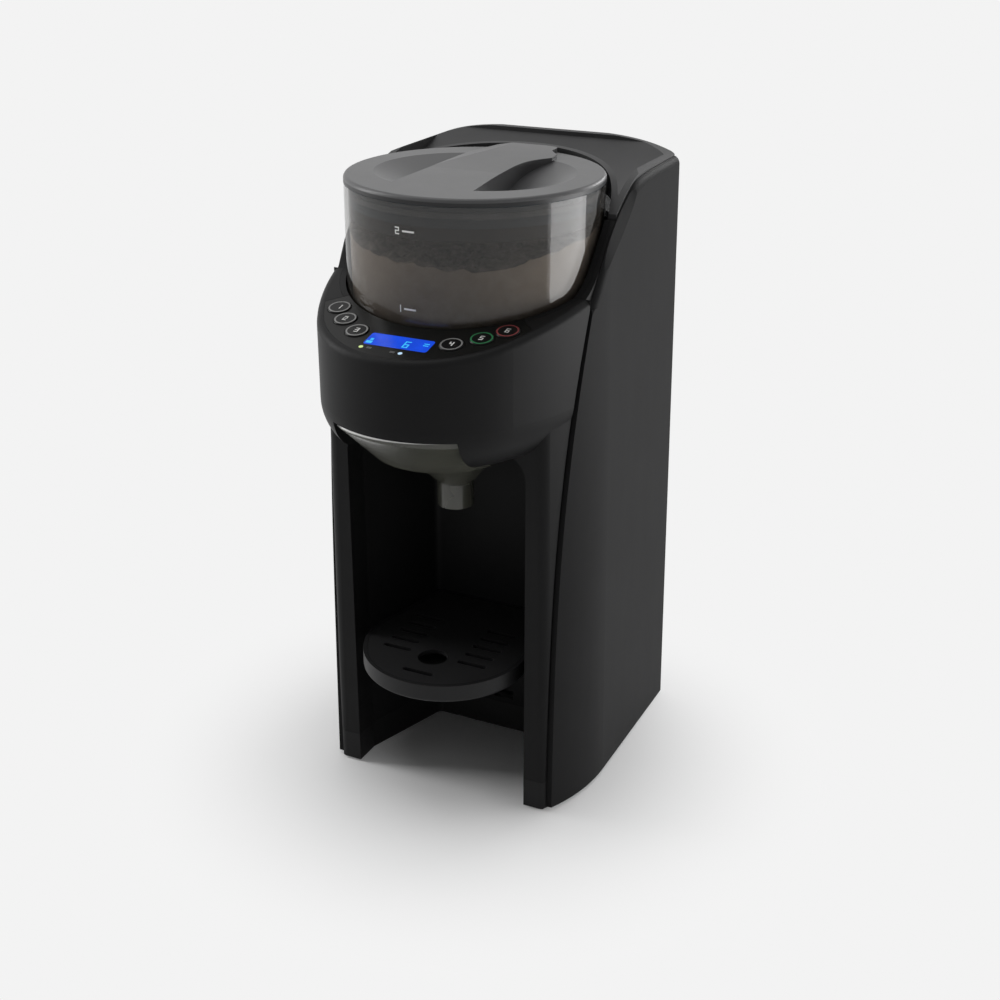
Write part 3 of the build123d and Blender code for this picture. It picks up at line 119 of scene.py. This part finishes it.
# ------------------------------------------------------------------ shader maths
class Signal:
    """A shader socket that takes part in Python arithmetic."""

    def __init__(self, finish, socket):
        self.finish, self.socket = finish, socket

    def _maths(self, operation, *values):
        return self.finish.node("ShaderNodeMath", {"operation": operation},
                                dict(enumerate(values))).out(0)

    def __add__(self, other):
        return self._maths("ADD", self, other)

    def __sub__(self, other):
        return self._maths("SUBTRACT", self, other)

    def __rsub__(self, other):
        return self._maths("SUBTRACT", other, self)

    def __mul__(self, other):
        return self._maths("MULTIPLY", self, other)

    __radd__ = __add__
    __rmul__ = __mul__

    def power(self, exponent):
        return self._maths("POWER", self, exponent)

    def between(self, low, high, soft=True):
        """0 at low, 1 at high."""
        kind = "SMOOTHSTEP" if soft else "LINEAR"
        return self.finish.node("ShaderNodeMapRange", {"interpolation_type": kind},
                                {"Value": self, "From Min": low, "From Max": high}).out(0)


class Wired:
    """A node whose outputs come back as signals."""

    def __init__(self, finish, node):
        self.finish, self.node = finish, node

    def out(self, key):
        return Signal(self.finish, self.node.outputs[key])


class Finish:
    """One material, or the world, built from nodes."""

    def __init__(self, name, world=False):
        self.material = (bpy.data.worlds if world else bpy.data.materials).new(name)
        self.material.use_nodes = True
        self.tree = self.material.node_tree
        self.tree.nodes.clear()
        self.output = self.tree.nodes.new("ShaderNodeOutputWorld" if world else
                                          "ShaderNodeOutputMaterial")

    def node(self, kind, settings=None, sockets=None):
        made = self.tree.nodes.new(kind)
        for key, value in (settings or {}).items():
            setattr(made, key, value)
        for key, value in (sockets or {}).items():
            if isinstance(value, Signal):
                self.tree.links.new(value.socket, made.inputs[key])
            else:
                made.inputs[key].default_value = value
        return Wired(self, made)

    def place(self):
        return self.node("ShaderNodeTexCoord").out("Object")

    def along(self, axis):
        """Place along one axis, 0 to 2, in metres."""
        return self.node("ShaderNodeSeparateXYZ", None, {0: self.place()}).out(axis)

    def grain(self, scale, detail=3.0, rough=0.55, stretch=None):
        where = self.place()
        if stretch:
            where = self.node("ShaderNodeMapping", None,
                              {"Vector": where, "Scale": stretch}).out(0)
        return self.node("ShaderNodeTexNoise", None,
                         {"Vector": where, "Scale": scale, "Detail": detail,
                          "Roughness": rough}).out(0)

    def blend(self, factor, first, second):
        """Mix of two colours."""
        first, second = (c if isinstance(c, Signal) else rgba(c) for c in (first, second))
        return self.node("ShaderNodeMix", {"data_type": "RGBA"},
                         {0: factor, 6: first, 7: second}).out(2)

    def bump(self, height, depth, under=None):
        sockets = {"Height": height, "Strength": 1.0, "Distance": depth}
        if under:
            sockets["Normal"] = under
        return self.node("ShaderNodeBump", None, sockets).out(0)

    def seen_directly(self):
        """1 for rays of the camera, a reflection or a clear piece, 0 for rays that light."""
        rays = self.node("ShaderNodeLightPath")
        direct = rays.out("Is Camera Ray") + rays.out("Is Glossy Ray")
        return (direct + rays.out("Is Transmission Ray")).between(0.0, 1.0, soft=False)

    def mix(self, factor, first, second):
        """Mix of two shaders."""
        return self.node("ShaderNodeMixShader", None,
                         {0: factor, 1: first.out(0), 2: second.out(0)})

    def show(self, shader):
        """Joins a shader to the output."""
        self.tree.links.new(shader.node.outputs[0], self.output.inputs[0])
        return self.material

    def surface(self, **sockets):
        return self.show(self.node(
            "ShaderNodeBsdfPrincipled", None,
            {key.replace("_", " "): value for key, value in sockets.items()}))


# ------------------------------------------------------------------ finishes
def moulded(name, colour, roughness, *, mottle=0.12, grain_depth=0.00001, specular=0.5,
            below=(), beyond=0.0):
    """Moulded plastic: fine erosion grain, faint clouding and uneven gloss.

    below is a list of (height, colour): under that height the plastic has that colour, from
    the radius beyond outwards."""
    f = Finish(name)
    clouds = f.grain(22.0, 4.0)
    fine = f.grain(1.0 / EROSION, 2.0)
    flow = f.grain(90.0, 3.0, stretch=(1, 1, 0.25))
    tone = f.blend(clouds.between(0.35, 0.65), shade(colour, 1 - mottle),
                   shade(colour, 1 + mottle))
    if below:
        x, y = f.along(0), f.along(1)
        radius = (x * x + y * y).power(0.5)
        outside = radius.between(beyond - COLOUR_BLUR, beyond + COLOUR_BLUR)
        for height, other in below:
            low = f.along(2).between(height + COLOUR_BLUR, height - COLOUR_BLUR)
            tone = f.blend(low * outside, tone, other)
    gloss = roughness + (flow - 0.5) * 0.04 + (fine - 0.5) * 0.06
    return f.surface(Base_Color=tone, Roughness=gloss, Specular_IOR_Level=specular,
                     Normal=f.bump(fine, grain_depth, f.bump(clouds, grain_depth * 6)))


def clear_plastic(name, colour, alpha, roughness, *, haze=0.06, scratches=0.000008, coat=0.6,
                  lip=None):
    """Tinted see-through plastic with a faint haze.

    The funnel's painted highlight on its lip is given as (height, lean, colour): above that
    leaning line the edge is painted paler and closed, standing in for the light it catches."""
    f = Finish(name)
    cloud = f.grain(30.0, 4.0)
    swirl = f.grain(160.0, 3.0, stretch=(1, 1, 0.2))
    edge = f.node("ShaderNodeLayerWeight", None, {"Blend": 0.35}).out("Facing")
    tone = f.blend(cloud.between(0.3, 0.7), shade(colour, 0.85), shade(colour, 1.15))
    cover = alpha + (cloud - 0.5) * haze + edge.power(6.0) * (0.8 - alpha)
    # painted highlight: above the leaning line the colour turns pale and the plastic closes
    if lip:
        height, lean, pale = lip
        rise = (f.along(2) - f.along(0) * lean).between(height - LIP_BLUR, height + LIP_BLUR)
        tone = f.blend(rise, tone, pale)
        cover = cover + rise * (1.0 - alpha)
    return f.surface(Base_Color=tone, Roughness=roughness + (swirl - 0.5) * 0.05, Alpha=cover,
                     Normal=f.bump(swirl, scratches), IOR=1.49, Coat_Weight=coat + cloud * 0.1,
                     Coat_Roughness=0.04)


def metal(name, colour, roughness, stretch=(1, 1, 12)):
    """Bare metal; its grain is finer along the axes that stretch raises."""
    f = Finish(name)
    brushed = f.grain(400.0, 3.0, stretch=stretch)
    cloud = f.grain(30.0)
    tone = f.blend(cloud, shade(colour, 0.88), colour)
    return f.surface(Base_Color=tone, Metallic=1.0, Roughness=roughness + (brushed - 0.5) * 0.2,
                     Normal=f.bump(brushed, 0.00001))


def rubber(name, colour):
    """Dull rubber with pores and a little dust."""
    f = Finish(name)
    dust = f.grain(60.0, 5.0)
    pores = f.grain(1800.0, 2.0)
    tone = f.blend(dust.between(0.45, 0.8), colour, shade(colour, 1.5, 0.01))
    return f.surface(Base_Color=tone, Roughness=0.82 + (dust - 0.5) * 0.2,
                     Normal=f.bump(pores, 0.00002), Specular_IOR_Level=0.3)


def circuit_board(name):
    """Green board with paler, raised tracks."""
    f = Finish(name)
    tracks = f.node("ShaderNodeTexBrick", {"offset": 0.5},
                    {"Vector": f.place(), "Scale": 90.0, "Mortar Size": 0.03}).out("Fac")
    cloud = f.grain(40.0)
    tone = f.blend(tracks, (0.02, 0.12, 0.05), (0.05, 0.22, 0.10))
    return f.surface(Base_Color=f.blend(cloud * 0.3, tone, (0.01, 0.08, 0.03)),
                     Roughness=0.35 + cloud * 0.15, Normal=f.bump(tracks, 0.00003))


def glowing(name, colour, spread=0.0, left=None):
    """A lit area, a little uneven; left is its colour on the left half, if that differs."""
    f = Finish(name)
    cloud = f.grain(120.0, 2.0)
    tone = f.blend(cloud.between(0.2, 0.8), shade(colour, 0.92 - spread), colour)
    if left:
        tone = f.blend(f.along(0).between(*LED_SPLIT), tone, left)
    return f.surface(Base_Color=rgba((0.0, 0.0, 0.0)), Emission_Color=tone,
                     Emission_Strength=1.0, Roughness=0.15 + cloud * 0.05,
                     Specular_IOR_Level=0.15)


def milk_powder(name, dark, light, depth):
    """Powder in clumps and crumbs."""
    f = Finish(name)
    clumps = f.grain(140.0, 6.0, 0.65)
    crumbs = f.grain(900.0, 4.0, 0.7)
    tone = f.blend(clumps.between(0.3, 0.7), dark, light)
    height = clumps * 0.7 + crumbs * 0.3
    return f.surface(Base_Color=tone, Roughness=0.9 + (crumbs - 0.5) * 0.1,
                     Normal=f.bump(height, depth), Specular_IOR_Level=0.2)


black = (0.0112, 0.0112, 0.0115)
finishes = {
    "front_housing": moulded("housing_black", black, 0.46, mottle=0.05, specular=0.09,
                             grain_depth=0.000012),
    "side_cover_left": moulded("cover_black", (0.0115, 0.0115, 0.0118), 0.50, mottle=0.05,
                               specular=0.05),
    "base_frame": moulded("base_black", (0.0125, 0.0125, 0.0128), 0.50, specular=0.14),
    "rear_frame": moulded("rear_black", black, 0.55, specular=0.25, grain_depth=0.00003),
    "hopper_cradle": moulded("cradle_black", (0.007, 0.007, 0.0073), 0.5, specular=0.10),
    "tank_lid": moulded("tank_lid_black", (0.036, 0.036, 0.037), 0.48, specular=0.25),
    "bottle_tray": moulded("tray_black", (0.011, 0.011, 0.0114), 0.48, specular=0.2),
    "tray_grille": moulded("grille_black", (0.016, 0.016, 0.0165), 0.42, specular=0.3),
    "control_panel": moulded("panel_gloss", (0.008, 0.008, 0.0075), 0.30, mottle=0.05,
                             grain_depth=0.000001, specular=0.12),
    "key_right_1": moulded("key_gloss", (0.0065, 0.0065, 0.0065), 0.30, mottle=0.05,
                           grain_depth=0.000001, specular=0.12),
    "container_lid": moulded("lid_grey", (0.078, 0.078, 0.080), 0.38, mottle=0.05,
                             specular=0.35, beyond=SKIRT_R,
                             # the first colour is painted shade on the lid's rounded lower
                             # edge; then the bluish skirt band, and dark below it
                             below=[(LID_LOW + LID_EDGE_SHADE, (0.010, 0.010, 0.011)),
                                    (LID_LOW, (0.055, 0.078, 0.100)),
                                    (SKIRT_BAND, (0.012, 0.011, 0.010))]),
    "powder_container": clear_plastic("smoky_clear", (0.045, 0.040, 0.034), 0.40, 0.06),
    "water_tank": clear_plastic("tank_clear", (0.09, 0.10, 0.11), 0.50, 0.10),
    # the funnel's lip carries a painted highlight, pale and closed, broad on the left and
    # thinning to the right
    "funnel": clear_plastic("funnel_smoke", (0.074, 0.075, 0.061), 0.88, 0.26, haze=0.1,
                            coat=0.2, lip=(LIP_HIGHLIGHT_LOW, LIP_HIGHLIGHT_LEAN, (0.86, 0.86, 0.84))),
    "display_window": glowing("display_blue", (0.010, 0.075, 0.76), 0.1),
    "indicator_leds": glowing("lamp_clear", (0.55, 0.78, 1.0), left=(0.62, 0.80, 0.30)),
    "lid_gasket": rubber("gasket_grey", (0.20, 0.21, 0.22)),
    "tank_seal": rubber("seal_grey", (0.20, 0.21, 0.22)),
    "rubber_feet": rubber("foot_rubber", (0.02, 0.02, 0.02)),
    "suction_hose": rubber("silicone_hose", (0.55, 0.56, 0.56)),
    "stirring_wheel": moulded("wheel_white", (0.62, 0.61, 0.58), 0.45, mottle=0.04),
    "funnel_rails": moulded("inner_plastic", (0.30, 0.31, 0.32), 0.55),
    "water_nozzle": metal("tube_steel", (0.60, 0.60, 0.61), 0.28),
    "heater_block": metal("heater_cast", (0.62, 0.62, 0.63), 0.5, (1, 1, 1)),
    "drive_bush": metal("bush_brass", (0.66, 0.50, 0.27), 0.35),
    "main_board": circuit_board("board_green"),
}
shared = {
    "side_cover_left": ["side_cover_right"],
    "rear_frame": ["power_inlet"],
    "key_right_1": ["key_right_2", "key_right_3", "key_left_1", "key_left_2", "key_left_3"],
    "suction_hose": ["pressure_hose", "outlet_hose"],
    "stirring_wheel": ["scraper", "drive_gear", "motor_pinion"],
    "funnel_rails": ["drive_deck", "lcd_module", "funnel_switch", "pump", "tank_socket",
                     "level_sensor", "tank_valve"],
    "water_nozzle": ["gear_motor", "thermostat", "lid_hinge_pin"],
    "main_board": ["panel_board", "power_board"],
}
for first, others in shared.items():
    for other in others:
        finishes[other] = finishes[first]
for name, part in nodes.items():
    part.data.materials.clear()
    part.data.materials.append(finishes[name])


# ------------------------------------------------------------------ mesh helpers
def link(made):
    bpy.context.collection.objects.link(made)
    return made


def piece(name, verts, faces, body, material, smooth=False):
    mesh = bpy.data.meshes.new(name)
    mesh.from_pydata([tuple(v) for v in verts], [], faces)
    mesh.validate()
    built = bmesh.new()
    built.from_mesh(mesh)
    bmesh.ops.recalc_face_normals(built, faces=built.faces)
    built.to_mesh(mesh)
    built.free()
    for polygon in mesh.polygons:
        polygon.use_smooth = smooth
    made = link(bpy.data.objects.new(name, mesh))
    made.data.materials.append(material)
    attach(made, body)


def flat_print(name, outlines, place, thick, body, material):
    """Flat marks on a surface: closed outlines in 2D, raised by thick; place maps x, y, h."""
    verts, faces = [], []
    for outline in outlines:
        start, count = len(verts), len(outline)
        verts += [place(x, y, h) for h in (0.0, thick) for x, y in outline]
        faces.append([start + count + i for i in range(count)])
        faces.append([start + i for i in reversed(range(count))])
        faces += [[start + i, start + (i + 1) % count, start + count + (i + 1) % count,
                   start + count + i] for i in range(count)]
    piece(name, verts, faces, body, material)


def around(radius, angle):
    return radius * math.cos(angle), radius * math.sin(angle)


def ring_outline(outer, inner, steps=64):
    """Ring as quads in 2D."""
    quads = []
    for i in range(steps):
        a, b = (2 * math.pi * (i + k) / steps for k in (0, 1))
        quads.append([around(outer, a), around(outer, b), around(inner, b), around(inner, a)])
    return quads


def bar(cx, cy, width, height, pieces=1):
    """A bar as quads side by side, so that it can follow a curve."""
    low, high = cy - height / 2, cy + height / 2
    edges = [cx - width / 2 + k * width / pieces for k in range(pieces + 1)]
    return [[(a, low), (b, low), (b, high), (a, high)] for a, b in zip(edges, edges[1:])]


def bars(rows):
    return [quad for row in rows for quad in bar(*row)]


SEGMENTS = {1: "bc", 2: "abged", 3: "abgcd", 4: "fgbc", 5: "afgcd", 6: "afgedc"}


def digit(value, cx, cy, width, height, stroke):
    """A plain digit out of straight strokes."""
    half_w, half_h = (width - stroke) / 2, (height - stroke) / 2
    across, upright = (width, stroke), (stroke, half_h + stroke * 0.9)
    strokes = {"a": (cx, cy + half_h, *across),
               "g": (cx, cy, *across),
               "d": (cx, cy - half_h, *across),
               "f": (cx - half_w, cy + half_h / 2, *upright),
               "b": (cx + half_w, cy + half_h / 2, *upright),
               "e": (cx - half_w, cy - half_h / 2, *upright),
               "c": (cx + half_w, cy - half_h / 2, *upright)}
    return bars(strokes[segment] for segment in SEGMENTS[value])


# ------------------------------------------------------------------ prints and lit marks
def printed(name, colour, roughness=0.5):
    return moulded(name, colour, roughness, mottle=0.06, grain_depth=0.000002)


def ring_place(x0, y0, lift):
    """Maps flat marks to the sloping ring around a plan point."""
    def place(x, y, h):
        return on_ring(x0, y0, lift + h) + Vector((x, 0, 0)) + ring_up * y
    return place


def wall_place(angle, height):
    """Maps flat marks to the container's outer wall."""
    def place(x, y, h):
        turn = math.radians(angle) + x / CONTAINER_R
        return Vector((*around(CONTAINER_R + CLEAR_GAP + h, turn), height + y))
    return place


white_print = printed("print_white", (0.90, 0.90, 0.88))
grey_print = printed("print_grey", (0.20, 0.20, 0.20))
ring_print = printed("ring_grey", (0.26, 0.26, 0.255), 0.4)
# key, side, place, number
keys = [("key_left_3", -1, 2, 1), ("key_left_2", -1, 1, 2), ("key_left_1", -1, 0, 3),
        ("key_right_1", 1, 0, 4), ("key_right_2", 1, 1, 5), ("key_right_3", 1, 2, 6)]
tinted_rings = {"key_right_2": printed("ring_green", (0.030, 0.230, 0.085), 0.4),
                "key_right_3": printed("ring_red", (0.300, 0.055, 0.055), 0.4)}
for body, side, index, number in keys:
    x, y = KEY_PLACES[index]
    flat_print(body + "_ring", ring_outline(*KEY_RING),
               ring_place(side * x, y, KEY_PROUD + PRINT_GAP), PRINT_THICK,
               body, tinted_rings.get(body, ring_print))
    flat_print(body + "_number", digit(number, *KEY_NUMBER),
               ring_place(side * x, y, KEY_PROUD + 3 * PRINT_GAP), PRINT_THICK,
               body, white_print)

lit_cyan = glowing("segment_cyan", (0.055, 0.55, 1.0))
for name, outlines in (("display_digit", digit(6, *DISPLAY_DIGIT)),
                       ("display_marks", bars(DISPLAY_MARKS))):
    flat_print(name, outlines, ring_place(0.0, WINDOW_Y, CLEAR_GAP), CLEAR_THICK,
               "housing", lit_cyan)
for name, (x, y) in LAMP_PLACES.items():
    flat_print(name, bars(LAMP_LINES), ring_place(x, y, PRINT_GAP), PRINT_THICK,
               "housing", grey_print)
for number, height in LEVELS.items():
    flat_print(f"level_{number}", bar(*LEVEL_TICK, pieces=8) + digit(number, *LEVEL_NUMBER),
               wall_place(LEVEL_ANGLE, height), CLEAR_THICK,
               "container", white_print)


# ------------------------------------------------------------------ powder in the container
def wall_height(angle):
    """Height of the powder against the wall at an angle in degrees."""
    start = WALL_LINE[0][0]
    angle = (angle - start) % 360 + start
    for (a0, z0), (a1, z1) in zip(WALL_LINE, WALL_LINE[1:]):
        if a0 <= angle <= a1:
            t = (angle - a0) / (a1 - a0)
            return z0 + (z1 - z0) * t * t * (3 - 2 * t)


def powder_height(radius, angle):
    """Height of the powder's crumbly top, calmer near the wall."""
    x, y = around(radius, angle)
    out = radius / POWDER_R
    rest = POWDER_MIDDLE + (wall_height(math.degrees(angle)) - POWDER_MIDDLE) * out ** 1.5
    dips = abs(noise.noise(Vector((x * DIPS, y * DIPS, DIP_SLICE)))) * DIP_DEPTH
    crumbs = noise.fractal(Vector((x * LUMPS, y * LUMPS, LUMP_SLICE)), *LUMP_FRACTAL)
    calm = 1.0 - CALM * max(0.0, out - CALM_FROM) / (1.0 - CALM_FROM)
    return min(POWDER_CEILING, rest + (crumbs * LUMP_HEIGHT - dips + TOP_LIFT) * calm)


def powder():
    """A heap of powder: an uneven, crumbly top, and a smooth side pressed against the wall."""
    rings, steps = 60, 220
    turns = [2 * math.pi * s / steps for s in range(steps)]
    verts = [Vector((0, 0, powder_height(0, 0)))]
    for r in range(1, rings + 1):
        radius = POWDER_R * r / rings
        verts += [Vector((*around(radius, a), powder_height(radius, a))) for a in turns]
    faces = [[0, 1 + s, 1 + (s + 1) % steps] for s in range(steps)]
    for r in range(rings - 1):
        low, high = 1 + r * steps, 1 + (r + 1) * steps
        faces += [[low + s, high + s, high + (s + 1) % steps, low + (s + 1) % steps]
                  for s in range(steps)]
    # the top's colours are partly the powder's own tone and partly painted shade: darker than
    # the pressed side, for the shade under the lid
    piece("powder_heap", verts, faces, "container",
          milk_powder("loose_powder_with_painted_shade", (0.18, 0.150, 0.120), (0.48, 0.41, 0.34), 0.0016),
          smooth=True)
    rim = verts[-steps:]
    foot = [Vector((v.x, v.y, POWDER_FLOOR)) for v in rim]
    side = [[s, (s + 1) % steps, steps + (s + 1) % steps, steps + s] for s in range(steps)]
    side.append([steps + s for s in reversed(range(steps))])
    piece("powder_side", rim + foot, side, "container",
          milk_powder("pressed_powder", (0.56, 0.44, 0.33), (0.67, 0.54, 0.42), 0.0002),
          smooth=True)


powder()


# ------------------------------------------------------------------ light, floor and camera
def backdrop():
    """A plain level of light, lower from the front; seen directly it is the pale background."""
    w = Finish("studio", world=True)
    ray = w.node("ShaderNodeTexCoord").out("Generated")
    facing = w.node("ShaderNodeVectorMath", {"operation": "DOT_PRODUCT"},
                    {0: ray, 1: TO_FRONT}).out("Value")
    rear, front, seen = (
        w.node("ShaderNodeBackground", None, {"Color": rgba(colour), "Strength": strength})
        for colour, strength in (((1, 1, 1), WORLD_BACK), ((1, 1, 1), WORLD_FRONT),
                                 (BACKGROUND, 1.0)))
    light = w.mix(facing.between(*TO_DARK), rear, front)
    bpy.context.scene.world = w.show(w.mix(w.seen_directly(), light, seen))


def hang_lamps():
    for name, place, aim, size, watts in LAMPS:
        lamp = bpy.data.lights.new(name, "AREA")
        lamp.shape, lamp.size, lamp.size_y, lamp.energy = "RECTANGLE", *size, watts
        holder = link(bpy.data.objects.new(name, lamp))
        holder.location = place
        aim_at = Vector(aim) - Vector(place)
        holder.rotation_euler = aim_at.to_track_quat("-Z", "Y").to_euler()
        holder.visible_camera = False


def lay_floor():
    """White paper that keeps the shadow and turns into the background further out."""
    f = Finish("floor_paper")
    where = f.node("ShaderNodeNewGeometry").out("Position")
    near = f.node("ShaderNodeVectorMath", {"operation": "LENGTH"}, {0: where}).out("Value")
    paper = f.node("ShaderNodeBsdfPrincipled", None,
                   {"Base Color": rgba(PAPER), "Roughness": 0.6})
    glow = f.node("ShaderNodeEmission", None, {"Color": rgba(BACKGROUND), "Strength": 1.0})
    mesh = bpy.data.meshes.new("floor")
    half = PAPER_HALF
    mesh.from_pydata([(-half, -half, 0), (half, -half, 0), (half, half, 0), (-half, half, 0)],
                     [], [(0, 1, 2, 3)])
    floor = link(bpy.data.objects.new("floor", mesh))
    floor.data.materials.append(
        f.show(f.mix(f.seen_directly() * near.between(*PAPER_FADE), paper, glow)))


def set_camera():
    camera_data = bpy.data.cameras.new("camera")
    camera_data.sensor_width, camera_data.lens = SENSOR, LENS
    camera_data.clip_start, camera_data.clip_end = 0.01, 50.0
    camera = link(bpy.data.objects.new("camera", camera_data))
    camera.location = CAMERA_PLACE
    camera.rotation_euler = Euler((math.radians(CAMERA_TILT), 0.0, math.radians(CAMERA_TURN)))
    bpy.context.scene.camera = camera
    bpy.context.scene.view_settings.view_transform = "Standard"


backdrop()
hang_lamps()
lay_floor()
set_camera()
